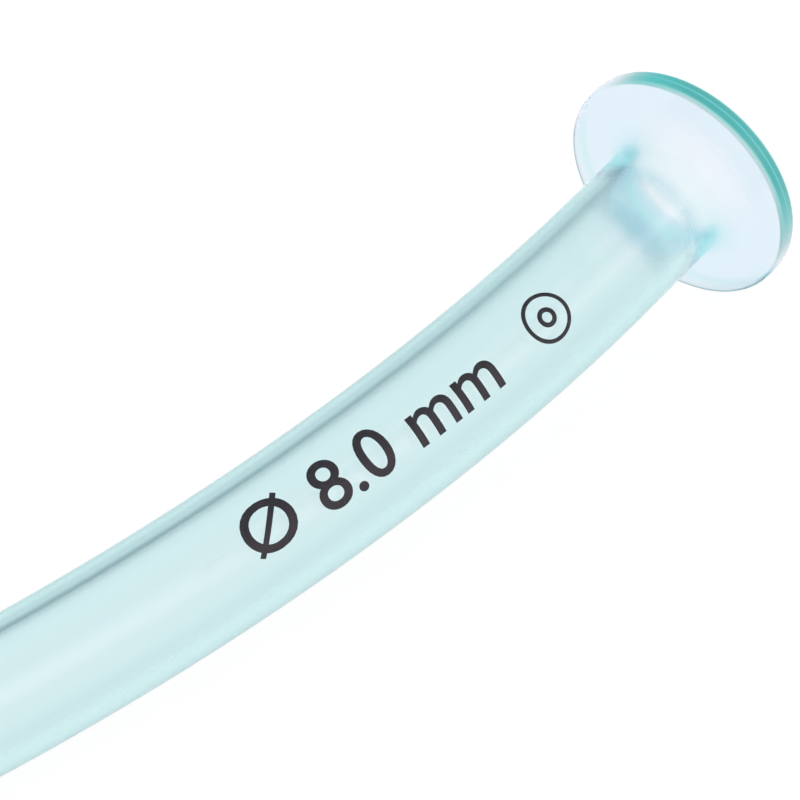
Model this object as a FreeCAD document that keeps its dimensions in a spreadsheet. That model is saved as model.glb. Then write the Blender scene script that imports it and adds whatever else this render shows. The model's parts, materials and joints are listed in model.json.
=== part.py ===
import FreeCAD, Part

import math
import os

import Sketcher
from FreeCAD import Placement, Rotation, Vector

# Nasopharyngeal airway: one piece of soft clear moulding.
# A round disc stays outside the nostril, and a curved tube with a bevelled tip reaches the throat.
#
# Frame while modelling: the origin is the centre of the disc's patient side, +X runs along the
# tube's axis there, towards the tip, and the tube bends towards -Y. At the end the whole airway
# is laid on its side, as it comes to rest on a table, with +Z up and the tip towards +X.

# Driving dimensions, in millimetres and degrees
SIZES = [
    ("bore_diameter", 8.0, "clear bore from the mouth to the tip"),
    ("tube_wall", 1.3, "wall of the tube"),
    ("airway_length", 155.0, "along the centreline, from the disc's patient side to the tip"),
    ("straight_length", 9.0, "straight run behind the disc, before the bend starts"),
    ("bend_radius", 130.0, "radius of the centreline from there to the tip"),
    ("disc_diameter", 20.4, "disc across its parting line"),
    ("disc_thickness", 1.8, "disc from face to face"),
    ("rim_draft", 3.0, "slope of the rim each way from the parting line, in degrees"),
    ("face_edge_bevel", 0.12, "broken edge of the disc's patient side"),
    ("outer_edge_bevel", 0.23, "broken edge of the disc's outer side"),
    ("neck_round", 2.0, "hollow round between the tube and the disc"),
    ("mouth_round", 3.1, "flare of the bore at the mouth, as a quarter round"),
    ("bevel_angle", 45.0, "slope of the tip's bevel against the tube's axis, in degrees"),
    ("tip_outer_round", 0.6, "rounded outer edge of the bevelled tip"),
    ("tip_inner_round", 0.4, "rounded inner edge of the bevelled tip"),
    ("trim_length", 3.0, "tube made beyond the tip, which the bevel cuts away"),
    ("heading", 35.0, "the disc's axis as it lies, turned from +X when seen from above, in degrees"),
]

LABEL = "airway"

# Search for the resting pose: places along the tube, furthest tilt and where it stops, in radians
STATIONS = 120
TILT_LIMIT = math.radians(15)
SEARCH_STOP = math.radians(0.005)


def make_sheet(doc):
    """Keep every driving dimension in one spreadsheet, each under its own name."""
    sheet = doc.addObject("Spreadsheet::Sheet", "Sizes")
    for row, (alias, value, meaning) in enumerate(SIZES, start=1):
        sheet.set(f"A{row}", meaning)
        sheet.set(f"B{row}", str(value))
        sheet.setAlias(f"B{row}", alias)
    doc.recompute()
    return sheet


def new_sketch(body, name, role):
    """Start a sketch on one of the body's own origin planes."""
    plane = [item for item in body.Origin.OriginFeatures if item.Role == role][0]
    sketch = body.newObject("Sketcher::SketchObject", name)
    sketch.AttachmentSupport = (plane, "")
    sketch.MapMode = "FlatFace"
    return sketch


def size(sketch, name, formula, *constraint):
    """Add a dimension to a sketch and tie it to the spreadsheet."""
    index = sketch.addConstraint(Sketcher.Constraint(*constraint))
    sketch.renameConstraint(index, name)
    sketch.setExpression(f"Constraints.{name}", formula)


# Centreline

ALONG = "Sizes.straight_length"
TURN = "(Sizes.airway_length + Sizes.trim_length - Sizes.straight_length) / Sizes.bend_radius"


def make_centreline(body, sizes):
    """A straight run through the disc, then one arc that bends towards -Y."""
    start = -sizes.disc_thickness
    straight = sizes.straight_length
    radius = sizes.bend_radius
    turn = (sizes.airway_length + sizes.trim_length - straight) / radius
    quarter = math.pi / 2

    sketch = new_sketch(body, "Centreline", "XY_Plane")
    run = sketch.addGeometry(Part.LineSegment(Vector(start, 0, 0), Vector(straight, 0, 0)), False)
    circle = Part.Circle(Vector(straight, -radius, 0), Vector(0, 0, 1), radius)
    bend = sketch.addGeometry(Part.ArcOfCircle(circle, quarter - turn, quarter), False)
    sketch.addConstraint(Sketcher.Constraint("Horizontal", run))
    sketch.addConstraint(Sketcher.Constraint("PointOnObject", run, 1, -1))
    sketch.addConstraint(Sketcher.Constraint("Tangent", run, 2, bend, 2))
    size(sketch, "outer_side", "Sizes.disc_thickness", "DistanceX", run, 1, -1, 1, -start)
    size(sketch, "bend_start", ALONG, "DistanceX", -1, 1, run, 2, straight)
    size(sketch, "bend_radius", "Sizes.bend_radius", "Radius", bend, radius)
    size(sketch, "turn", f"{TURN} * 180 / pi", "Angle", bend, turn)
    return sketch


def make_ring(body, name, formula, radius):
    """A circle around the centreline, at the disc's outer side where the sweeps start."""
    sketch = new_sketch(body, name, "YZ_Plane")
    sketch.setExpression("AttachmentOffset.Base.z", "-Sizes.disc_thickness")
    circle = Part.Circle(Vector(0, 0, 0), Vector(0, 0, 1), radius)
    ring = sketch.addGeometry(circle, False)
    sketch.addConstraint(Sketcher.Constraint("Coincident", ring, 3, -1, 1))
    size(sketch, "radius", formula, "Radius", ring, radius)
    return sketch


def sweep(body, kind, name, profile, path):
    """Carry a round profile along the centreline, to add the tube or to cut its bore."""
    pipe = body.newObject(kind, name)
    pipe.Profile = profile
    pipe.Spine = (path, ["Edge1", "Edge2"])
    return pipe


# Disc


def make_disc(body, sizes):
    """A flat disc whose rim slopes both ways from a parting line at mid-thickness."""
    back = -sizes.disc_thickness
    rim = sizes.disc_diameter / 2
    slope = math.tan(math.radians(sizes.rim_draft))
    edge = rim - slope * sizes.disc_thickness / 2

    sketch = new_sketch(body, "DiscProfile", "XY_Plane")
    corners = [
        Vector(0, 0, 0),
        Vector(0, edge, 0),
        Vector(back / 2, rim, 0),
        Vector(back, edge, 0),
        Vector(back, 0, 0),
    ]
    lines = []
    for here, there in zip(corners, corners[1:] + corners[:1]):
        lines.append(sketch.addGeometry(Part.LineSegment(here, there), False))
    face, front_slope, back_slope, outer, axis = lines
    for line, following in zip(lines, lines[1:] + lines[:1]):
        sketch.addConstraint(Sketcher.Constraint("Coincident", line, 2, following, 1))
    sketch.addConstraint(Sketcher.Constraint("Coincident", face, 1, -1, 1))
    sketch.addConstraint(Sketcher.Constraint("Vertical", face))
    sketch.addConstraint(Sketcher.Constraint("Vertical", outer))
    sketch.addConstraint(Sketcher.Constraint("Horizontal", axis))
    half = "Sizes.disc_thickness / 2"
    size(sketch, "thickness", "Sizes.disc_thickness", "DistanceX", outer, 2, -1, 1, -back)
    size(sketch, "parting", half, "DistanceX", front_slope, 2, -1, 1, -back / 2)
    size(sketch, "rim", "Sizes.disc_diameter / 2", "DistanceY", -1, 1, front_slope, 2, rim)
    formula = f"Sizes.disc_diameter / 2 - tan(Sizes.rim_draft * 1 deg) * {half}"
    size(sketch, "front_edge", formula, "DistanceY", -1, 1, face, 2, edge)
    size(sketch, "back_edge", formula, "DistanceY", -1, 1, outer, 1, edge)

    disc = body.newObject("PartDesign::Revolution", "Disc")
    disc.Profile = sketch
    disc.ReferenceAxis = (sketch, ["H_Axis"])
    disc.Angle = 360
    return disc


# Rounds and broken edges


def circular_edges(feature, radius, along):
    """Names of the edges that are circles of this radius, square to X at this place."""
    names = []
    for number, edge in enumerate(feature.Shape.Edges, start=1):
        if edge.Curve.TypeId != "Part::GeomCircle":
            continue
        fits = abs(edge.Curve.Radius - radius) < 0.01
        there = abs(edge.Curve.Center.x - along) < 0.01
        if fits and there and abs(edge.Curve.Axis.x) > 0.99:
            names.append(f"Edge{number}")
    return names


def make_round(body, name, base, edges, formula):
    """Round the named edges of the last feature."""
    return dress(body, "PartDesign::Fillet", "Radius", name, base, edges, formula)


def break_edge(body, name, base, edges, formula):
    """Break the named edges of the last feature with a small bevel."""
    return dress(body, "PartDesign::Chamfer", "Size", name, base, edges, formula)


def dress(body, kind, measure, name, base, edges, formula):
    """Put one kind of edge on the named edges, with its size tied to the spreadsheet."""
    if not edges:
        raise RuntimeError(f"{name}: no edge to shape")
    edge_feature = body.newObject(kind, name)
    edge_feature.Base = (base, edges)
    edge_feature.setExpression(measure, formula)
    return edge_feature


# Bevelled tip


def make_bevel(body, sizes):
    """Cut the tip off at a slant that faces sideways, square to the plane of the bend."""
    radius = sizes.bore_diameter / 2 + sizes.tube_wall
    turn = (sizes.airway_length - sizes.straight_length) / sizes.bend_radius
    slant = math.tan(math.radians(sizes.bevel_angle))
    heel = -2 * radius / slant
    reach = 4 * radius

    sketch = new_sketch(body, "BevelProfile", "XZ_Plane")
    sketch.AttachmentOffset = Placement(Vector(0, 0, 0), Rotation(Vector(0, 1, 0), -math.degrees(turn)))
    at_tip = "(Sizes.airway_length - Sizes.straight_length) / Sizes.bend_radius * 1 rad"
    sketch.setExpression("AttachmentOffset.Rotation.Angle", f"-({at_tip})")
    along = f"Sizes.straight_length + Sizes.bend_radius * sin({at_tip})"
    across = f"Sizes.bend_radius * (1 - cos({at_tip}))"
    sketch.setExpression("AttachmentOffset.Base.x", along)
    sketch.setExpression("AttachmentOffset.Base.z", across)

    corners = [
        Vector(0, -radius, 0),
        Vector(heel - radius / slant, 2 * radius, 0),
        Vector(reach, 2 * radius, 0),
        Vector(reach, -radius, 0),
    ]
    lines = []
    for here, there in zip(corners, corners[1:] + corners[:1]):
        lines.append(sketch.addGeometry(Part.LineSegment(here, there), False))
    bevel, top, end, bottom = lines
    for line, following in zip(lines, lines[1:] + lines[:1]):
        sketch.addConstraint(Sketcher.Constraint("Coincident", line, 2, following, 1))
    sketch.addConstraint(Sketcher.Constraint("Horizontal", top))
    sketch.addConstraint(Sketcher.Constraint("Horizontal", bottom))
    sketch.addConstraint(Sketcher.Constraint("Vertical", end))
    sketch.addConstraint(Sketcher.Constraint("PointOnObject", bevel, 1, -2))
    outside = "(Sizes.bore_diameter / 2 + Sizes.tube_wall)"
    size(sketch, "tip", outside, "DistanceY", bevel, 1, -1, 1, radius)
    size(sketch, "above", f"2 * {outside}", "DistanceY", -1, 1, bevel, 2, 2 * radius)
    formula = f"3 * {outside} / tan(Sizes.bevel_angle * 1 deg)"
    size(sketch, "slant", formula, "DistanceX", bevel, 2, bevel, 1, 3 * radius / slant)
    size(sketch, "reach", f"4 * {outside}", "DistanceX", -1, 1, end, 1, reach)

    cut = body.newObject("PartDesign::Pocket", "Bevel")
    cut.Profile = sketch
    cut.Type = "Length"
    cut.Midplane = True
    cut.setExpression("Length", f"6 * {outside}")
    return cut


def tip_edges(feature, sizes, inner):
    """Names of the outer or the inner edges where the bevel plane cuts the tube."""
    turn = (sizes.airway_length - sizes.straight_length) / sizes.bend_radius
    forward = Vector(math.cos(turn), -math.sin(turn), 0)
    slope = math.radians(sizes.bevel_angle)
    facing = forward * math.sin(slope) + Vector(0, 0, math.cos(slope))
    names = []
    for face in feature.Shape.Faces:
        if face.Surface.TypeId != "Part::GeomPlane":
            continue
        low, high, left, right = face.ParameterRange
        if face.normalAt((low + high) / 2, (left + right) / 2).getAngle(facing) > 0.02:
            continue
        for wire in face.Wires:
            if wire.isSame(face.OuterWire) == inner:
                continue
            for number, edge in enumerate(feature.Shape.Edges, start=1):
                if any(edge.isSame(part) for part in wire.Edges):
                    names.append(f"Edge{number}")
    return names


# Lying on a table


def lowest_at(height, low, high):
    """Where a curve with one dip between these ends is lowest."""
    while high - low > SEARCH_STOP:
        third = (high - low) / 3
        if height(low + third) < height(high - third):
            high -= third
        else:
            low += third
    return (low + high) / 2


def resting_turn(body, sizes):
    """The turn that lays the airway on its side, with +Z up.

    It touches the table with the rim of the disc and one place on the tube, and settles on
    those two where its weight is lowest.
    """
    straight = sizes.straight_length
    bend = sizes.bend_radius
    outside = sizes.bore_diameter / 2 + sizes.tube_wall
    rim = sizes.disc_diameter / 2
    rim_centre = Vector(-sizes.disc_thickness / 2, 0, 0)
    mass_centre = body.Shape.Solids[0].CenterOfMass

    stations = []
    for step in range(STATIONS + 1):
        run = sizes.airway_length * step / STATIONS
        turn = max(0.0, run - straight) / bend
        centre = Vector(min(run, straight) + bend * math.sin(turn), bend * (math.cos(turn) - 1), 0)
        stations.append((centre, Vector(math.cos(turn), -math.sin(turn), 0)))

    def up_vector(roll, pitch):
        across = math.cos(pitch)
        return Vector(math.sin(pitch), math.sin(roll) * across, math.cos(roll) * across)

    def weight_height(roll, pitch):
        up = up_vector(roll, pitch)
        lowest = rim_centre.dot(up) - rim * math.sqrt(1 - up.x ** 2)
        for centre, along in stations:
            under = centre.dot(up) - outside * math.sqrt(1 - along.dot(up) ** 2)
            lowest = min(lowest, under)
        return mass_centre.dot(up) - lowest

    def best_pitch(roll):
        return lowest_at(lambda pitch: weight_height(roll, pitch), -TILT_LIMIT, TILT_LIMIT)

    roll = lowest_at(lambda angle: weight_height(angle, best_pitch(angle)), -TILT_LIMIT, TILT_LIMIT)
    levelled = Rotation(up_vector(roll, best_pitch(roll)), Vector(0, 0, 1))
    axis = levelled.multVec(Vector(1, 0, 0))
    heading = math.degrees(math.atan2(axis.y, axis.x))
    return Rotation(Vector(0, 0, 1), sizes.heading - heading).multiply(levelled)


def lay_down(body, sizes):
    """Lay the airway down and set the origin under the middle of its box."""
    turn = resting_turn(body, sizes)
    body.Placement = Placement(Vector(0, 0, 0), turn)
    box = body.Shape.optimalBoundingBox(False, False)
    under_middle = Vector((box.XMin + box.XMax) / 2, (box.YMin + box.YMax) / 2, box.ZMin)
    body.Placement = Placement(under_middle * -1, turn)


# Build

doc = FreeCAD.newDocument("Airway")
sizes = make_sheet(doc)
body = doc.addObject("PartDesign::Body", "Airway")
body.Label = LABEL

outer_radius = sizes.bore_diameter / 2 + sizes.tube_wall
rim_edge = sizes.disc_diameter / 2 - math.tan(math.radians(sizes.rim_draft)) * sizes.disc_thickness / 2

centreline = make_centreline(body, sizes)
outer_ring = make_ring(body, "OuterRing", "Sizes.bore_diameter / 2 + Sizes.tube_wall", outer_radius)
tube = sweep(body, "PartDesign::AdditivePipe", "Tube", outer_ring, centreline)
disc = make_disc(body, sizes)
doc.recompute()

edges = circular_edges(disc, rim_edge, 0)
rim_front = break_edge(body, "FaceEdge", disc, edges, "Sizes.face_edge_bevel")
doc.recompute()
edges = circular_edges(rim_front, rim_edge, -sizes.disc_thickness)
rim_back = break_edge(body, "OuterEdge", rim_front, edges, "Sizes.outer_edge_bevel")
doc.recompute()
neck = make_round(body, "Neck", rim_back, circular_edges(rim_back, outer_radius, 0), "Sizes.neck_round")
doc.recompute()

bore_ring = make_ring(body, "BoreRing", "Sizes.bore_diameter / 2", sizes.bore_diameter / 2)
bore = sweep(body, "PartDesign::SubtractivePipe", "Bore", bore_ring, centreline)
doc.recompute()
edges = circular_edges(bore, sizes.bore_diameter / 2, -sizes.disc_thickness)
mouth = make_round(body, "Mouth", bore, edges, "Sizes.mouth_round")
doc.recompute()

before = mouth.Shape.Volume
bevel = make_bevel(body, sizes)
doc.recompute()
if not bevel.Shape.Volume < before:
    raise RuntimeError("the bevel cuts nothing")
tip_outside = make_round(body, "TipOutside", bevel, tip_edges(bevel, sizes, False), "Sizes.tip_outer_round")
doc.recompute()
tip_inside = make_round(body, "TipInside", tip_outside, tip_edges(tip_outside, sizes, True), "Sizes.tip_inner_round")
doc.recompute()

lay_down(body, sizes)
doc.recompute()

# Checks before anything is written
for item in doc.Objects:
    if "Invalid" in item.State or "Error" in item.State:
        raise RuntimeError(f"{item.Label} failed")
if body.Shape.isNull() or not body.Shape.isValid() or len(body.Shape.Solids) != 1:
    raise RuntimeError("the airway isn't one sound solid")

os.makedirs("parts", exist_ok=True)
body.Shape.exportStep(f"parts/{LABEL}.step")
box = body.Shape.optimalBoundingBox(False, False)
print(f"airway: {box.XLength:.2f} x {box.YLength:.2f} x {box.ZLength:.2f} mm, {body.Shape.Volume:.1f} mm3")
print(f"lies at {body.Placement}")
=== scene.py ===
# %% [markdown]
# # A soft breathing tube with a round disc
#
# The object is a nasopharyngeal airway: one piece of soft, clear, green-blue moulding. A disc
# stays outside the nostril, and a curved tube leads from it to a bevelled tip.
#
# What the eye sees is mostly white light that has gone through tinted plastic, so the shape of
# the walls, and the light around them, make the picture. The lesson therefore spends its care
# on a closed and smooth wall, on one clear material that changes a little from the disc to the
# tube, and on what stands around the object.

import json
import math

import bmesh
import bpy
from mathutils import Matrix, Vector


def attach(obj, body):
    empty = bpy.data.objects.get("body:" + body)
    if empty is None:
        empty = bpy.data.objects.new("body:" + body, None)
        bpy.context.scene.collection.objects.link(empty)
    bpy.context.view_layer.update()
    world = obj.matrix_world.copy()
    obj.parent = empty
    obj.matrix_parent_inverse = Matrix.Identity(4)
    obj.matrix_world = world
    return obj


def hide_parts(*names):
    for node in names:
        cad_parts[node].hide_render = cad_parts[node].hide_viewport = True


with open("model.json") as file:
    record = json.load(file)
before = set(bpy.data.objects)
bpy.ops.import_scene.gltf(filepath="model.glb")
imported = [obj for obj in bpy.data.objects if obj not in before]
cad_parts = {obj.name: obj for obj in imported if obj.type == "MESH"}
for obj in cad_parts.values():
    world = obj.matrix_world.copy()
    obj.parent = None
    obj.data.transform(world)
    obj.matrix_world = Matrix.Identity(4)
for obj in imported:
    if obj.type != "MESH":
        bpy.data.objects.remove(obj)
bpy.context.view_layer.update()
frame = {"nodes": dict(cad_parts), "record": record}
record = frame["record"]
mounts = {mount["name"]: mount for mount in record["mounts"]}
print("pieces in the frame:", sorted(frame["nodes"]))

# %% [markdown]
# ## The disc's own axes
#
# The airway lies on its side, a little tilted, because it rests on the disc's rim and on one
# place along the tube. Numbers such as "5.3 mm from the centreline" only make sense in the
# disc's own axes. Two facts of the frame give them: the bore's axis, and the point where the
# disc's flat face is. The third is the side towards which the tube bends. It could be copied
# as three angles, but the solid shows it by itself: the middle of the tube lies off the
# disc's axis to that side.

# %% Find the disc's axes
MM = 0.001
airway_solid = frame["nodes"]["airway"]
BORE_RADIUS = mounts["bore"]["dims"]["r_mm"]
BENT_STRETCH = (60 * MM, 120 * MM)

along = -Vector(mounts["bore"]["axis"]).normalized()
bore_place = Vector(mounts["bore"]["pos_m"])
face_place = Vector(mounts["disc_face"]["pos_m"])
disc_centre = bore_place + along * (face_place - bore_place).dot(along)


def bend_side(solid, near, far):
    """The direction in which the tube leaves the disc's axis, between two distances from it."""
    lean = Vector()
    for face in solid.data.polygons:
        out = face.center - disc_centre
        reach = out.dot(along)
        if near < reach < far:
            lean += face.area * (out - reach * along)
    return lean.normalized()


bend = bend_side(airway_solid, *BENT_STRETCH)
side = along.cross(bend)
DISC_AXES = Matrix((along, bend, side)).transposed()


def place(x, y, z):
    """A point given in millimetres along the disc's axes, as a point of the frame."""
    return disc_centre + DISC_AXES @ Vector((x, y, z)) * MM


print("disc's centre:", [round(value / MM, 2) for value in disc_centre])
print("bends towards:", [round(value, 4) for value in bend])

# %% [markdown]
# ## The centreline
#
# The tube runs straight out of the disc for a few millimetres and then follows one wide arc.
# A curve object with a bevel would also sweep a round section, but it gives no bevelled tip,
# and its wall would be two separate skins. A formula for any place on the wall is as short:
# how far along the centreline, how far from it, and at which angle around it.

# %% Walk along the centreline
AIRWAY_LENGTH = 155.0
STRAIGHT_LENGTH = 9.0
BEND_RADIUS = 130.0


def wall_point(station, radius, angle):
    """The point at this length along the centreline, this far from it, at this angle around."""
    turn = max(0.0, station - STRAIGHT_LENGTH) / BEND_RADIUS
    from_axis = radius * math.cos(angle)
    x = min(station, STRAIGHT_LENGTH) + (BEND_RADIUS - from_axis) * math.sin(turn)
    y = BEND_RADIUS - (BEND_RADIUS - from_axis) * math.cos(turn)
    return place(x, y, radius * math.sin(angle))


tip = wall_point(AIRWAY_LENGTH, 0, 0)
print("tip's centre:", [round(value / MM, 2) for value in tip])

# %% [markdown]
# ## The wall's profile
#
# Cut the airway lengthwise and its wall is one closed outline. Each point of it has a station
# along the centreline and a radius from it. The outline goes out along the bore, round the
# mouth, over the disc and its rim, down the hollow neck and back along the tube's outside.
# Small rounds matter more on clear plastic than on any other: each one is a lens, and shows as
# a light or a dark line. Beside each round the outline gets one more point very close by, so
# that the smooth shading of the round doesn't spread over the flat.

# %% Draw the profile of the disc and the neck
TUBE_WALL = 1.3
DISC_RADIUS = 10.2
DISC_THICKNESS = 1.8
RIM_DRAFT = math.radians(3)
FACE_EDGE = 0.2
OUTER_EDGE = 0.4
NECK_ROUND = 2.0
MOUTH_ROUND = 3.1
TUBE_RADIUS = BORE_RADIUS + TUBE_WALL
SUPPORT = 0.04
FLAT_STEP = 0.5
DRAFT_STEP = 0.3
MOUTH_STEPS = 24
OUTER_EDGE_STEPS = 10
FACE_EDGE_STEPS = 8
NECK_STEPS = 18


def straight(start, end, step):
    """Points from start to end, a step apart, with one close to each end."""
    first = Vector(start)
    run = Vector(end) - first
    count = max(1, round(run.length / step))
    inner = SUPPORT / run.length
    shares = [0.0, inner] + [k / count for k in range(1, count)] + [1 - inner, 1.0]
    return [tuple(first + run * share) for share in shares]


def arc(centre, radius, start, end, steps):
    """Points on an arc between two angles in degrees: 0 points to the tip, 90 outward."""
    points = []
    for k in range(1, steps):
        angle = math.radians(start + (end - start) * k / steps)
        points.append((centre[0] + radius * math.cos(angle), centre[1] + radius * math.sin(angle)))
    return points


def disc_profile():
    """From the bore behind the mouth, round the disc, to the tube's outside behind the neck."""
    back = -DISC_THICKNESS
    middle = back / 2
    slope = math.tan(RIM_DRAFT) * DISC_THICKNESS / 2
    edge = DISC_RADIUS - slope
    mouth = (back + MOUTH_ROUND, BORE_RADIUS + MOUTH_ROUND)
    outer_edge = (back + OUTER_EDGE, edge - OUTER_EDGE)
    face_edge = (-FACE_EDGE, edge - FACE_EDGE)
    neck = (NECK_ROUND, TUBE_RADIUS + NECK_ROUND)

    points = straight((NECK_ROUND, BORE_RADIUS), (mouth[0], BORE_RADIUS), FLAT_STEP)
    points += arc(mouth, MOUTH_ROUND, 270, 180, MOUTH_STEPS)
    points += straight((back, mouth[1]), (back, outer_edge[1]), FLAT_STEP)
    points += arc(outer_edge, OUTER_EDGE, 180, 90, OUTER_EDGE_STEPS)
    points += straight((outer_edge[0], edge), (middle, DISC_RADIUS), DRAFT_STEP)
    points += straight((middle, DISC_RADIUS), (face_edge[0], edge), DRAFT_STEP)[1:]
    points += arc(face_edge, FACE_EDGE, 90, 0, FACE_EDGE_STEPS)
    points += straight((0, face_edge[1]), (0, neck[1]), FLAT_STEP)
    points += arc(neck, NECK_ROUND, 180, 270, NECK_STEPS)
    points.append((NECK_ROUND, TUBE_RADIUS))
    return points


profile = disc_profile()
print("profile points of the disc and neck:", len(profile))

# %% [markdown]
# ## The bevelled tip
#
# The far end is cut at a slant that faces sideways, so that it slips past the inside of the
# nose. A boolean cut would leave a rough edge and long thin triangles. Instead, the rings of
# the tube lean more and more over the last stretch, until the last one lies in the plane of
# the bevel. The outer and inner edges are then rounded, ring by ring.

# %% Lean the last rings into the bevel
BEVEL_ANGLE = math.radians(45)
LEAN_LENGTH = 32.0
TIP_OUTER_ROUND = 0.6
TIP_INNER_ROUND = 0.4
TIP_STEPS = 8
ROUND_SHARE = 0.62


def bevel_station(radius, angle):
    """How far along the centreline the bevel cuts the wall, at this radius and angle."""
    height = -radius * math.sin(angle)
    behind = (height + TUBE_RADIUS) / math.tan(BEVEL_ANGLE)
    turn = -math.asin(behind / (BEND_RADIUS - radius * math.cos(angle)))
    return AIRWAY_LENGTH + turn * BEND_RADIUS


def leaning(station, radius, angle):
    """A station on a straight ring, moved towards the bevel near the tip."""
    share = max(0.0, (station - AIRWAY_LENGTH + LEAN_LENGTH) / LEAN_LENGTH)
    return station + (bevel_station(radius, angle) - AIRWAY_LENGTH) * share ** 2


def tip_round(radius, other_radius, angle, round_radius):
    """Points that round the bevel's edge at this angle, from the tube's wall to the bevel."""
    cut = bevel_station(radius, angle)
    corner = wall_point(cut, radius, angle)
    back = (wall_point(cut - 1, radius, angle) - corner).normalized()
    across = wall_point(bevel_station(other_radius, angle), other_radius, angle) - corner
    inside = across.normalized()
    half = back.angle(inside) / 2
    reach = min(round_radius / math.tan(half), ROUND_SHARE * across.length / MM) * MM
    weight = math.sin(half)
    points = []
    for k in range(TIP_STEPS + 1):
        t = k / TIP_STEPS
        shares = ((1 - t) ** 2, 2 * t * (1 - t) * weight, t ** 2)
        ends = (corner + back * reach, corner, corner + inside * reach)
        total = sum((point * share for point, share in zip(ends, shares)), Vector())
        points.append(total / sum(shares))
    return points


heel = AIRWAY_LENGTH - bevel_station(TUBE_RADIUS, -math.pi / 2)
print("bevel's heel is", round(heel, 1), "mm back")

# %% [markdown]
# ## The closed wall
#
# All rings have the same number of points, so the mesh is a plain grid that closes on itself
# both ways. It has no seams, no poles and no stray faces, which is what a clear material
# needs: light that enters must find its way out.

# %% Build the airway
AROUND = 192
RING_STEP = 0.95
TIP_CLEARANCE = 1.4


def ring_angles():
    return [2 * math.pi * k / AROUND for k in range(AROUND)]


def wall_rings(radius, first, last):
    """Rings along one wall of the tube, which lean into the bevel near the tip."""
    count = round(abs(last - first) / RING_STEP)
    rings = []
    for k in range(1, count + 1):
        station = first + (last - first) * k / count
        rings.append([wall_point(leaning(station, radius, a), radius, a) for a in ring_angles()])
    return rings


def airway_rings():
    """Every ring of the wall in order: disc, tube, tip, and back along the bore."""
    rings = [[wall_point(s, r, a) for a in ring_angles()] for s, r in profile]
    end = AIRWAY_LENGTH - TIP_CLEARANCE
    rings += wall_rings(TUBE_RADIUS, NECK_ROUND, end)
    outside = [tip_round(TUBE_RADIUS, BORE_RADIUS, a, TIP_OUTER_ROUND) for a in ring_angles()]
    inside = [tip_round(BORE_RADIUS, TUBE_RADIUS, a, TIP_INNER_ROUND) for a in ring_angles()]
    rings += [list(ring) for ring in zip(*outside)]
    rings += [list(ring) for ring in zip(*inside)][::-1]
    rings += wall_rings(BORE_RADIUS, NECK_ROUND, end)[::-1]
    return rings


def grid_mesh(name, rings):
    """A mesh that joins each ring to the next, and the last to the first."""
    width = len(rings[0])
    points = [point for ring in rings for point in ring]
    faces = []
    for row in range(len(rings)):
        here = row * width
        there = (row + 1) % len(rings) * width
        for k in range(width):
            n = (k + 1) % width
            faces.append((here + k, here + n, there + n, there + k))
    mesh = bpy.data.meshes.new(name)
    mesh.from_pydata(points, [], faces)
    mesh.shade_smooth()
    mesh.validate()
    return mesh


def add_piece(name, mesh):
    """Put a mesh in the scene, as a piece that moves with the airway's only body."""
    piece = bpy.data.objects.new(name, mesh)
    bpy.context.scene.collection.objects.link(piece)
    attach(piece, "root")
    return piece


def closed_volume(mesh):
    """Volume in cubic millimetres: above zero only where the faces look outward."""
    work = bmesh.new()
    work.from_mesh(mesh)
    volume = work.calc_volume(signed=True)
    work.free()
    return volume / MM ** 3


airway_mesh = grid_mesh("airway_moulding", airway_rings())
if closed_volume(airway_mesh) < 0:
    airway_mesh.flip_normals()
airway = add_piece("airway_moulding", airway_mesh)
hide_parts("airway")
print("airway:", len(airway_mesh.polygons), "faces,", round(closed_volume(airway_mesh), 1), "mm3")

# %% [markdown]
# ## Writing materials as sums
#
# A material is a graph of nodes. Written node by node it is hard to read, so a small class
# wraps a socket and lets Python's own operators add the Math nodes. Every other node comes
# from one method, which takes the node's type, its settings and what goes into its sockets.
# The nodes that are needed often have a short method of their own.

# %% Wrap sockets and nodes


class Value:
    """A value inside a material. Python's operators on it add Math nodes."""

    def __init__(self, finish, socket):
        self.finish = finish
        self.socket = socket

    def math(self, operation, first, second):
        node = self.finish.node("ShaderNodeMath", {"operation": operation}, {0: first, 1: second})
        return node["Value"]

    def __add__(self, other):
        return self.math("ADD", self, other)

    def __radd__(self, other):
        return self.math("ADD", other, self)

    def __sub__(self, other):
        return self.math("SUBTRACT", self, other)

    def __rsub__(self, other):
        return self.math("SUBTRACT", other, self)

    def __mul__(self, other):
        return self.math("MULTIPLY", self, other)

    def __rmul__(self, other):
        return self.math("MULTIPLY", other, self)

    def __truediv__(self, other):
        return self.math("DIVIDE", self, other)

    def __abs__(self):
        return self.math("ABSOLUTE", self, 0.0)


class Node:
    """A node of a material, whose outputs are read by name as values."""

    def __init__(self, finish, node):
        self.finish = finish
        self.node = node

    def __getitem__(self, name):
        return Value(self.finish, self.node.outputs[name])


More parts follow.
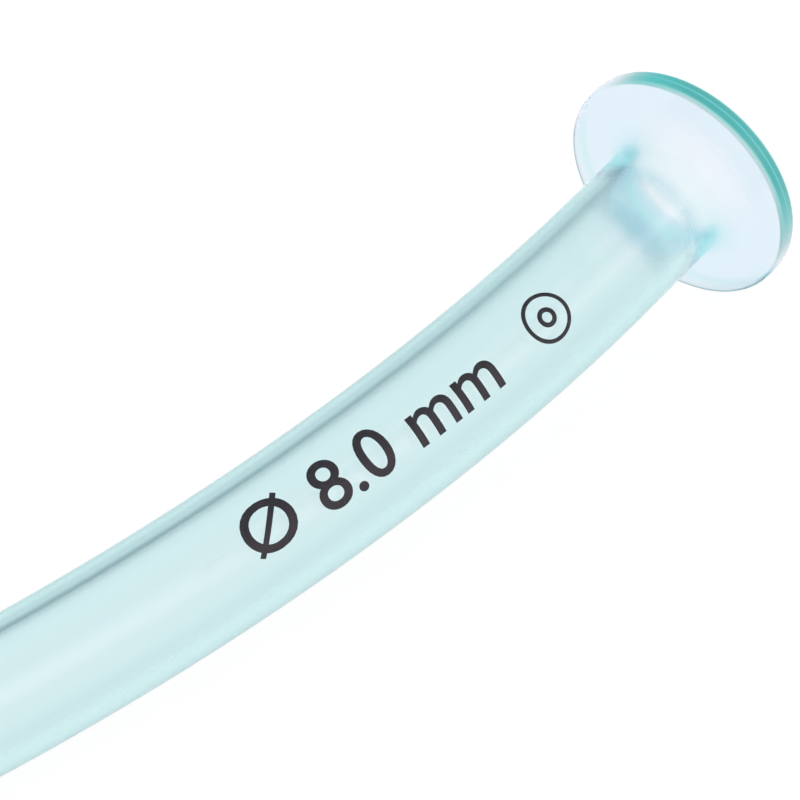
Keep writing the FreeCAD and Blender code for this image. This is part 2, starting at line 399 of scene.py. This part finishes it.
class Finish:
    """A material, or the world, that is built up in Python."""

    def __init__(self, owner):
        owner.use_nodes = True
        self.owner = owner
        self.tree = owner.node_tree
        self.tree.nodes.clear()

    def node(self, kind, settings=None, values=None):
        """Add a node: its settings are set first, then the values or links of its sockets."""
        node = self.tree.nodes.new(kind)
        for name, setting in (settings or {}).items():
            if name == "stops":
                self.set_stops(node.color_ramp, setting)
            else:
                setattr(node, name, setting)
        for name, value in (values or {}).items():
            if isinstance(value, Value):
                self.tree.links.new(value.socket, node.inputs[name])
            else:
                node.inputs[name].default_value = value
        return Node(self, node)

    def set_stops(self, ramp, stops):
        """Give a colour ramp its places and colours."""
        while len(ramp.elements) < len(stops):
            ramp.elements.new(0.5)
        for element, (where, colour) in zip(ramp.elements, stops):
            element.position = where
            element.color = colour

    def smooth(self, value, low, high):
        """From 0 at low to 1 at high, with a soft start and end."""
        ends = {"Value": value, "From Min": low, "From Max": high}
        curve = {"interpolation_type": "SMOOTHSTEP"}
        return self.node("ShaderNodeMapRange", curve, ends)["Result"]

    def mix(self, share, first, second):
        """From the first colour to the second, by this share."""
        colours = {"Factor": share, 6: first, 7: second}
        node = self.node("ShaderNodeMix", {"data_type": "RGBA"}, colours)
        return Value(self, node.node.outputs[2])

    def ramp(self, stops, where):
        """The colour at this place on a ramp of places and colours."""
        return self.node("ShaderNodeValToRGB", {"stops": stops}, {"Fac": where})["Color"]

    def vector(self, operation, *vectors):
        """A Vector Math node, whose result is read as its "Value" or its "Vector"."""
        values = dict(enumerate(vectors))
        return self.node("ShaderNodeVectorMath", {"operation": operation}, values)

    def noise(self, where, scale, detail):
        """Soft patches, about 0 to 1, over these coordinates."""
        values = {"Vector": where, "Scale": scale, "Detail": detail}
        return self.node("ShaderNodeTexNoise", None, values)["Fac"]

    def principled(self, values):
        return self.node("ShaderNodeBsdfPrincipled", None, values)["BSDF"]

    def blend(self, share, first, second):
        """From the first shader to the second, by this share."""
        shaders = {0: share, 1: first, 2: second}
        return self.node("ShaderNodeMixShader", None, shaders)["Shader"]

    def out(self, **shaders):
        """Link shaders to the output, by its sockets' names."""
        owner = "World" if isinstance(self.owner, bpy.types.World) else "Material"
        self.node("ShaderNodeOutput" + owner, None, shaders)
        return self.owner


def new_finish(name):
    return Finish(bpy.data.materials.new(name))


print("materials are written with Value, Node and Finish")

# %% [markdown]
# ## Clear, tinted, soft plastic
#
# Soft vinyl bends light as glass does, with an index of refraction of about 1.5, and most of
# its tint sits in the plastic and not on it. That tint is a volume: light loses red first, and
# then green and blue, for each millimetre it travels, so a long way through the wall looks
# tealer than a short one. The surface is moulded and handled, so it isn't polished: a slight
# haze softens what is seen through it, and long shallow waves from the mould make the
# reflections uneven.
#
# Three surfaces are blended. The tube has the clear one, which draws the dark line along the
# bore. On an exactly clear disc every round would show as a ring of light, while the disc in
# the photograph is calm and even. So the disc and the neck have a softer surface that hardly
# bends light, with a thin coat for its gloss. The front of the rim gets an opaque teal surface
# whose colour is painted light: it stands in for light that enters there and runs a long way
# along the disc. Its pale lines are painted highlights over the edge rounds and the mould's
# parting line.
#
# What changes over the airway is told by four lengths in millimetres: the station ahead of the
# disc's face, the distance from the disc's axis, and how far towards the front and the left of
# the disc, as the camera sees it.

# %% Say where on the airway a point is
FRONT_SHARES = (0.808, 0.589)
RIM_FRONT = -(FRONT_SHARES[0] * bend + FRONT_SHARES[1] * side)
RIM_LEFT = FRONT_SHARES[1] * bend - FRONT_SHARES[0] * side


def disc_places(finish):
    """Millimetres ahead of the disc's face, from its axis, and towards its front and left."""
    here = finish.node("ShaderNodeTexCoord")["Object"]
    out = finish.vector("SUBTRACT", here, disc_centre)["Vector"]
    across = finish.vector("CROSS_PRODUCT", out, along)["Vector"]
    station = finish.vector("DOT_PRODUCT", out, along)["Value"]
    radius = finish.vector("LENGTH", across)["Value"]
    front = finish.vector("DOT_PRODUCT", out, RIM_FRONT)["Value"]
    left = finish.vector("DOT_PRODUCT", out, RIM_LEFT)["Value"]
    return station / MM, radius / MM, front / MM, left / MM


print("the rim's front:", [round(value, 3) for value in RIM_FRONT])

# %% [markdown]
# ## Tints, and where they blend
#
# Each pair of numbers below is a stretch over which one look turns softly into the next. Light
# passes at least two surfaces on its way through a wall, and their tints multiply, so each
# tint of the tube is only a little below white. The tube's tint is painted lighter from about 5
# to 10 mm ahead of the face: painted light for the paler band that refraction in the neck gives
# there. The near side of the neck gets a painted refraction: a darker teal where the rim shows
# faintly through the tube. The back part of the rim, where the opaque teal surface ends, gets a
# painted teal band for the rim seen through the disc, and a painted dark line beside the face,
# where the edge round would bend light away.

# %% Choose the tints
TINT_PER_METRE = 120.0
TINT_KEPT = (0.167, 0.855, 0.875, 1.0)
TINT_SPAN = 12.0
# The tube's own tint, painted lighter from about 5 to 10 mm ahead of the face as painted light.
TUBE_TINTS_AND_PAINTED_LIGHT = [
    (0.2, (0.93, 0.91, 0.95, 1.0)),
    (0.42, (0.94, 0.92, 0.95, 1.0)),
    (0.62, (0.965, 0.975, 0.972, 1.0)),
    (0.85, (0.942, 0.96, 0.967, 1.0)),
]
NECK_BLEND = (2.8, 5.8)
# Painted refraction: the teal rim, as it shows through the near side of the neck, painted onto the
# tube.
PAINTED_RIM_VIEW_START = (7.8, 9.0)
PAINTED_RIM_VIEW_END = (9.6, 11.2)
PAINTED_RIM_VIEW_FRONT = (2.6, 4.9)
PAINTED_RIM_VIEW_TINT = (0.66, 0.8, 0.82, 1.0)
FACE_TO_NECK = (0.2, 1.5)
FACE_TINT = (0.995, 0.912, 0.983, 1.0)
NECK_TINT = (0.955, 0.935, 0.97, 1.0)
# Back part of the rim: a painted teal band for the rim seen through the disc, and a painted dark
# line beside the face for its edge round.
UNDER_RIM_FRONT = (0.0, 3.0)
UNDER_RIM_LEFT = (8.8, 9.9)
UNDER_RIM_PAINTED_TINT = (0.74, 0.86, 0.9, 1.0)
EDGE_LINE = (-0.6, 0.0)
PAINTED_DARK_EDGE_TINT = (0.16, 0.36, 0.44, 1.0)

red_kept = math.exp(-2 * MM * TINT_PER_METRE * (1 - TINT_KEPT[0]))
print("2 mm of plastic keep", round(red_kept, 2), "of the red light")

# %% Colour the rim with painted light
RIM_RADIUS = (9.85, 10.05)
RIM_STATION = (0.0, 0.5)
SKIN_SHARE = 0.97
SKIN_LEAN = 0.06
SKIN_FRONT = (1.0, 5.5)
TEAL_FRONT = (1.5, 7.5)
# Painted light: the rim is painted lighter towards the left.
PAINTED_LIGHT_LEFT = (4.0, 9.0)
PAINTED_LIGHT_SHARE = 0.75
SOFT_RIGHT = (4.5, 9.5)
# Painted light: the rim turns pale at its ends and back, where the white ground shows through.
RIM_PAINTED_PALE = (0.85, 1.0, 1.0, 1.0)
RIM_LEFT_PAINTED_LIGHT = (0.13, 0.92, 0.88, 1.0)
RIM_SOFT = (0.26, 0.8, 0.79, 1.0)
# Painted light across the rim: teal of light run along the disc, with pale lines as painted
# highlights.
RIM_HIGHLIGHT_LINES = [
    (0.0, (0.75, 1.0, 1.0, 1.0)),
    (0.12, (0.36, 0.88, 0.86, 1.0)),
    (0.23, (0.08, 0.58, 0.55, 1.0)),
    (0.43, (0.08, 0.58, 0.55, 1.0)),
    (0.51, (0.18, 0.82, 0.8, 1.0)),
    (0.59, (0.09, 0.58, 0.55, 1.0)),
    (0.77, (0.09, 0.58, 0.55, 1.0)),
    (0.86, (0.24, 0.82, 0.8, 1.0)),
    (1.0, (0.24, 0.74, 0.72, 1.0)),
]


def painted_rim_light_colour(finish, station, front, left):
    """Painted light: teal, pale highlight lines, lighter left, softer right, pale at the back."""
    lines = finish.ramp(RIM_HIGHLIGHT_LINES, station / -DISC_THICKNESS)
    # Painted light: lighter towards the left.
    lines = finish.mix(finish.smooth(left, *PAINTED_LIGHT_LEFT) * PAINTED_LIGHT_SHARE, lines, RIM_LEFT_PAINTED_LIGHT)
    lines = finish.mix(finish.smooth(-1 * left, *SOFT_RIGHT), lines, RIM_SOFT)
    return finish.mix(finish.smooth(front, *TEAL_FRONT), RIM_PAINTED_PALE, lines)


print("stops across the rim:", len(RIM_HIGHLIGHT_LINES))

# %% Make the soft vinyl
VINYL_IOR = 1.5
VINYL_HAZE = 0.13
NECK_HAZE = 0.18
SOFT_IOR = 1.05
SOFT_HAZE = 0.4
SOFT_COAT = 0.4
SOFT_COAT_HAZE = 0.15
SKIN_HAZE = 0.2
SKIN_GLOSS = 0.3
WAVE_SCALE = 90.0
WAVE_DETAIL = 2.0
WAVE_HEIGHT = 0.0002
WAVE_STRENGTH = 0.15


def soft_vinyl():
    finish = new_finish("soft_vinyl")
    station, radius, front, left = disc_places(finish)
    by_disc = 1 - finish.smooth(station, *NECK_BLEND)
    rim = finish.smooth(radius, *RIM_RADIUS) * (1 - finish.smooth(station, *RIM_STATION))
    on_rim = rim * finish.smooth(front - SKIN_LEAN * left, *SKIN_FRONT)
    # The back part of the rim, which gets the painted teal band and the painted dark edge line.
    under_rim = rim * (1 - finish.smooth(front, *UNDER_RIM_FRONT))
    under_rim = under_rim * (1 - finish.smooth(left, *UNDER_RIM_LEFT))
    # Painted refraction of the rim, as seen through the near side of the neck.
    painted_rim_view = finish.smooth(station, *PAINTED_RIM_VIEW_START) * (1 - finish.smooth(station, *PAINTED_RIM_VIEW_END))
    painted_rim_view = painted_rim_view * finish.smooth(front, *PAINTED_RIM_VIEW_FRONT)
    # The tube's tint with its painted lighter band, and the painted view of the rim over it.
    tube_tint_and_painted_light = finish.mix(painted_rim_view, finish.ramp(TUBE_TINTS_AND_PAINTED_LIGHT, station / TINT_SPAN), PAINTED_RIM_VIEW_TINT)
    disc_tint = finish.mix(finish.smooth(station, *FACE_TO_NECK), FACE_TINT, NECK_TINT)
    painted_rim_edge = finish.mix(finish.smooth(station, *EDGE_LINE), UNDER_RIM_PAINTED_TINT, PAINTED_DARK_EDGE_TINT)

    grain = finish.node("ShaderNodeTexCoord")["Object"]
    bump = finish.node("ShaderNodeBump", None, {
        "Height": finish.noise(grain, WAVE_SCALE, WAVE_DETAIL),
        "Distance": WAVE_HEIGHT,
        "Strength": WAVE_STRENGTH,
    })["Normal"]
    clear = finish.principled({
        "Base Color": tube_tint_and_painted_light,
        "Roughness": VINYL_HAZE + by_disc * (NECK_HAZE - VINYL_HAZE),
        "IOR": VINYL_IOR,
        "Transmission Weight": 1.0,
        "Normal": bump,
    })
    soft = finish.principled({
        "Base Color": finish.mix(under_rim, disc_tint, painted_rim_edge),
        "Roughness": SOFT_HAZE,
        "IOR": SOFT_IOR,
        "Transmission Weight": 1.0,
        "Coat Weight": SOFT_COAT,
        "Coat Roughness": SOFT_COAT_HAZE,
        "Normal": bump,
    })
    # The rim's opaque teal surface: painted light, for light guided along the disc.
    painted_rim = finish.principled({
        "Base Color": painted_rim_light_colour(finish, station, front, left),
        "Roughness": SKIN_HAZE,
        "Specular IOR Level": SKIN_GLOSS,
        "Normal": bump,
    })
    plastic = finish.blend(on_rim * SKIN_SHARE, finish.blend(by_disc, clear, soft), painted_rim)
    depth = finish.node("ShaderNodeVolumeAbsorption", None, {
        "Color": TINT_KEPT,
        "Density": TINT_PER_METRE,
    })["Volume"]
    return finish.out(Surface=plastic, Volume=depth)


airway.data.materials.append(soft_vinyl())
print("finish of the airway:", airway.data.materials[0].name)

# %% [markdown]
# ## The print
#
# The bore's size is printed along the tube in near-black ink, with a small round mark behind
# it. A picture on the surface would need an unwrapped image. Letters as thin solids need none:
# they are made flat, cut into narrow cells so that they can bend, and wrapped around the tube a
# hundredth of a millimetre above its wall. Each point keeps its flat place as a UV pair, so the
# ink can be a little thinner in places.

# %% Wrap flat marks around the tube
MARK_START = 50.4
MARK_ANGLE = math.radians(195.3)
MARK_RISE = math.radians(-0.1)
INK_LIFT = 0.02
INK_DEPTH = 0.02
CELL = 0.4
CUT_REACH = 1e-5
WELD_REACH = 1e-4
UV_SPAN = 25.0


def on_wall(point):
    """From a flat place in millimetres, along the print, up and above the wall, to the tube."""
    angle = MARK_ANGLE + MARK_RISE * point.x + point.y / TUBE_RADIUS
    return wall_point(MARK_START - point.x, TUBE_RADIUS + INK_LIFT + point.z, angle)


def wrap(mesh):
    """Cut a flat mesh into cells, note each point's flat place, and bend it around the tube."""
    work = bmesh.new()
    work.from_mesh(mesh)
    low = [min(v.co[axis] for v in work.verts) for axis in (0, 1)]
    high = [max(v.co[axis] for v in work.verts) for axis in (0, 1)]
    for axis, normal in ((0, (1, 0, 0)), (1, (0, 1, 0))):
        for k in range(1, int((high[axis] - low[axis]) / CELL) + 1):
            cut = Vector(normal) * (low[axis] + k * CELL)
            everything = work.verts[:] + work.edges[:] + work.faces[:]
            bmesh.ops.bisect_plane(
                work, geom=everything, plane_co=cut, plane_no=normal, dist=CUT_REACH,
            )
    bmesh.ops.remove_doubles(work, verts=work.verts, dist=WELD_REACH)
    flat = work.loops.layers.uv.new("flat")
    for face in work.faces:
        for loop in face.loops:
            loop[flat].uv = (loop.vert.co.x / UV_SPAN, loop.vert.co.y / UV_SPAN)
    for vert in work.verts:
        vert.co = on_wall(vert.co)
    bmesh.ops.recalc_face_normals(work, faces=work.faces)
    work.to_mesh(mesh)
    work.free()
    return mesh


print("the print starts", MARK_START, "mm along the tube")

# %% Set the size in type
TYPE_SIZE = 5.55
TYPE_WIDEN = 1.04
TYPE_HEAVIER = 0.05
TYPE_STEPS = 6


def flat_type(words):
    """Letters as one thin flat solid, in millimetres, whose line starts at the origin."""
    curve = bpy.data.curves.new("type", "FONT")
    curve.body = words
    curve.size = TYPE_SIZE
    curve.offset = TYPE_HEAVIER
    curve.extrude = INK_DEPTH / 2
    curve.resolution_u = TYPE_STEPS
    block = bpy.data.objects.new("type", curve)
    bpy.context.scene.collection.objects.link(block)
    bpy.context.view_layer.update()
    mesh = bpy.data.meshes.new_from_object(block)
    bpy.data.objects.remove(block)
    mesh.transform(Matrix.Diagonal((TYPE_WIDEN, 1, 1, 1)))
    return mesh


marks = [add_piece("size_mark", wrap(flat_type("\u00d8 8.0 mm")))]
print("size_mark:", len(marks[0].data.polygons), "faces")

# %% Draw the round mark
RING_PLACE = (29.6, 1.9)
RING_AROUND = 72
RING_BANDS = [(2.05, 1.72), (0.8, 0.42)]


def flat_ring(outer, inner):
    """One thin flat ring, as a closed band of four-cornered sections."""
    half = INK_DEPTH / 2
    corners = [(outer, -half), (outer, half), (inner, half), (inner, -half)]
    rings = []
    for k in range(RING_AROUND):
        angle = 2 * math.pi * k / RING_AROUND
        x, y = math.cos(angle), math.sin(angle)
        rings.append([(RING_PLACE[0] + r * x, RING_PLACE[1] + r * y, z) for r, z in corners])
    return rings


for number, (outer, inner) in enumerate(RING_BANDS, start=1):
    name = f"ring_mark_{number}"
    marks.append(add_piece(name, wrap(grid_mesh(name, flat_ring(outer, inner)))))
    print(f"{name}:", len(marks[-1].data.polygons), "faces")

# %% Mix the ink
INK_DARK = (0.012, 0.012, 0.018, 1.0)
INK_THIN = (0.035, 0.035, 0.05, 1.0)
INK_HAZE = 0.35
THIN_SCALE = 30.0
THIN_DETAIL = 3.0
THIN_FROM = (0.4, 0.7)
THIN_HAZE = 0.2


def print_ink():
    finish = new_finish("print_ink")
    flat = finish.node("ShaderNodeTexCoord")["UV"]
    thin = finish.noise(flat, THIN_SCALE, THIN_DETAIL)
    ink = finish.principled({
        "Base Color": finish.mix(finish.smooth(thin, *THIN_FROM), INK_DARK, INK_THIN),
        "Roughness": INK_HAZE + THIN_HAZE * thin,
    })
    return finish.out(Surface=ink)


ink = print_ink()
for mark in marks:
    mark.data.materials.append(ink)
print("in ink:", [mark.name for mark in marks])

# %% [markdown]
# ## The floor and the room
#
# The photograph has a pure white ground. A white floor that is only lit would never be evenly
# white, and more light would wash out the object. So the floor glows for the camera, and for
# rays that come through the plastic, and keeps a share of plain matt white, in which the
# object's faint shadow still shows.
#
# Clear plastic shows its surroundings upside down and squeezed at its edges, so the whole room
# is painted into the world, and no lamp is needed. The dark line along the bore is a picture
# of the far side of the room, which is bright near the horizon and dim higher up. The long
# soft highlight on the tube is a wide window with soft edges, low at the side.

# %% Lay the floor
FLOOR_SIZE = 6.0
FLOOR_COLOUR = (0.9, 0.9, 0.9, 1.0)
FLOOR_GLOW = 1.08
SHADOW_SHARE = 0.12


def white_floor():
    finish = new_finish("white_floor")
    rays = finish.node("ShaderNodeLightPath")
    seen = rays["Is Camera Ray"] + rays["Is Glossy Ray"] + rays["Is Transmission Ray"]
    share = seen.math("MINIMUM", seen, 1.0) * (1 - SHADOW_SHARE)
    matt = finish.node("ShaderNodeBsdfDiffuse", None, {"Color": FLOOR_COLOUR})["BSDF"]
    glow = finish.node("ShaderNodeEmission", None, {"Strength": FLOOR_GLOW})["Emission"]
    return finish.out(Surface=finish.blend(share, matt, glow))


floor_mesh = bpy.data.meshes.new("floor")
half = FLOOR_SIZE / 2
corners = [(-half, -half, 0), (half, -half, 0), (half, half, 0), (-half, half, 0)]
floor_mesh.from_pydata(corners, [], [(0, 1, 2, 3)])
floor = bpy.data.objects.new("floor", floor_mesh)
bpy.context.scene.collection.objects.link(floor)
floor.data.materials.append(white_floor())
print("floor:", FLOOR_SIZE, "m wide")

# %% Paint the room
FAR_SKY = [
    (0.0, (0.86, 0.88, 0.89, 1.0)),
    (0.2, (0.84, 0.86, 0.88, 1.0)),
    (0.34, (0.8, 0.84, 0.86, 1.0)),
    (0.46, (0.5, 0.56, 0.59, 1.0)),
    (0.58, (0.24, 0.31, 0.35, 1.0)),
    (0.8, (0.24, 0.31, 0.35, 1.0)),
    (1.0, (0.9, 0.9, 0.9, 1.0)),
]
NEAR_SKY = [
    (0.0, (0.95, 0.95, 0.95, 1.0)),
    (0.3, (0.7, 0.72, 0.73, 1.0)),
    (0.8, (0.5, 0.52, 0.54, 1.0)),
    (1.0, (0.9, 0.9, 0.9, 1.0)),
]
FAR_SIDE = (0.25, 0.7)
WINDOW_LIGHT = (1.85, 1.45, 1.5, 1.0)
WINDOW_BEARING = 129
WINDOW_HEIGHT = 10
WINDOW_TILT = -11
WINDOW_SIDE = (0.2, 0.5)
WINDOW_ENDS = (0.5, 0.85)
WINDOW_EDGES = (0.04, 0.4)
WHITE = (1.0, 1.0, 1.0, 1.0)


def towards(bearing, height):
    """A direction by its bearing from +X and its angle above the floor, in degrees."""
    turn, rise = math.radians(bearing), math.radians(height)
    level = math.cos(rise)
    return Vector((level * math.cos(turn), level * math.sin(turn), math.sin(rise)))


def studio_world():
    world = bpy.data.worlds.new("studio")
    bpy.context.scene.world = world
    finish = Finish(world)
    look = finish.node("ShaderNodeTexCoord")["Generated"]
    parts = finish.node("ShaderNodeSeparateXYZ", None, {"Vector": look})
    near, far = [finish.ramp(stops, parts["Z"]) for stops in (NEAR_SKY, FAR_SKY)]
    sky = finish.mix(finish.smooth(-1 * parts["Y"], *FAR_SIDE), near, far)

    middle = towards(WINDOW_BEARING, WINDOW_HEIGHT)
    tilt = Matrix.Rotation(math.radians(WINDOW_TILT), 3, middle)
    across = tilt @ towards(WINDOW_BEARING + 90, 0)
    up = middle.cross(across)
    facing, aside, above = [
        finish.vector("DOT_PRODUCT", look, axis)["Value"] for axis in (middle, across, up)
    ]
    window = finish.smooth(facing, *WINDOW_SIDE)
    window = window * (1 - finish.smooth(abs(aside), *WINDOW_ENDS))
    window = window * (1 - finish.smooth(abs(above), *WINDOW_EDGES))
    camera_ray = finish.node("ShaderNodeLightPath")["Is Camera Ray"]
    colour = finish.mix(camera_ray, finish.mix(window, sky, WINDOW_LIGHT), WHITE)
    light = finish.node("ShaderNodeBackground", None, {"Color": colour, "Strength": 1.0})
    return finish.out(Surface=light["Background"])


studio = studio_world()
print("room:", studio.name, "with", len(FAR_SKY), "stops in its far sky")

# %% [markdown]
# ## The camera
#
# The camera stands where the photograph was taken from, worked out from the disc's outline
# and the tube's edges, in the disc's own axes. It is a long lens: the far end and the near end
# of the tube look almost equally thick. A ray that looks through clear walls crosses many of
# them, so rays may bounce more often than usual.

# %% Set up the camera
LENS_MM = 163.33
SENSOR_MM = 36.0
CAMERA_PLACE = (179.613, -184.721, -138.697)
CAMERA_FORWARD = Vector((-0.536475, 0.682097, 0.496929))
CAMERA_UP = Vector((-0.589427, 0.118561, -0.799074))
CLIP_START = 0.01
CLIP_END = 20
BOUNCES = 48


def photo_camera():
    data = bpy.data.cameras.new("camera")
    data.lens = LENS_MM
    data.sensor_width = SENSOR_MM
    data.clip_start = CLIP_START
    data.clip_end = CLIP_END
    camera = bpy.data.objects.new("camera", data)
    backward = -(DISC_AXES @ CAMERA_FORWARD).normalized()
    up = DISC_AXES @ CAMERA_UP
    right = up.cross(backward).normalized()
    turned = Matrix((right, backward.cross(right), backward)).transposed().to_4x4()
    camera.matrix_world = Matrix.Translation(place(*CAMERA_PLACE)) @ turned
    bpy.context.scene.collection.objects.link(camera)
    bpy.context.scene.camera = camera
    return camera


camera = photo_camera()
bpy.context.scene.view_settings.view_transform = "Standard"
for limit in ("max_bounces", "transmission_bounces", "glossy_bounces"):
    setattr(bpy.context.scene.cycles, limit, BOUNCES)
print("camera at", [round(value / MM, 1) for value in camera.location], "mm")
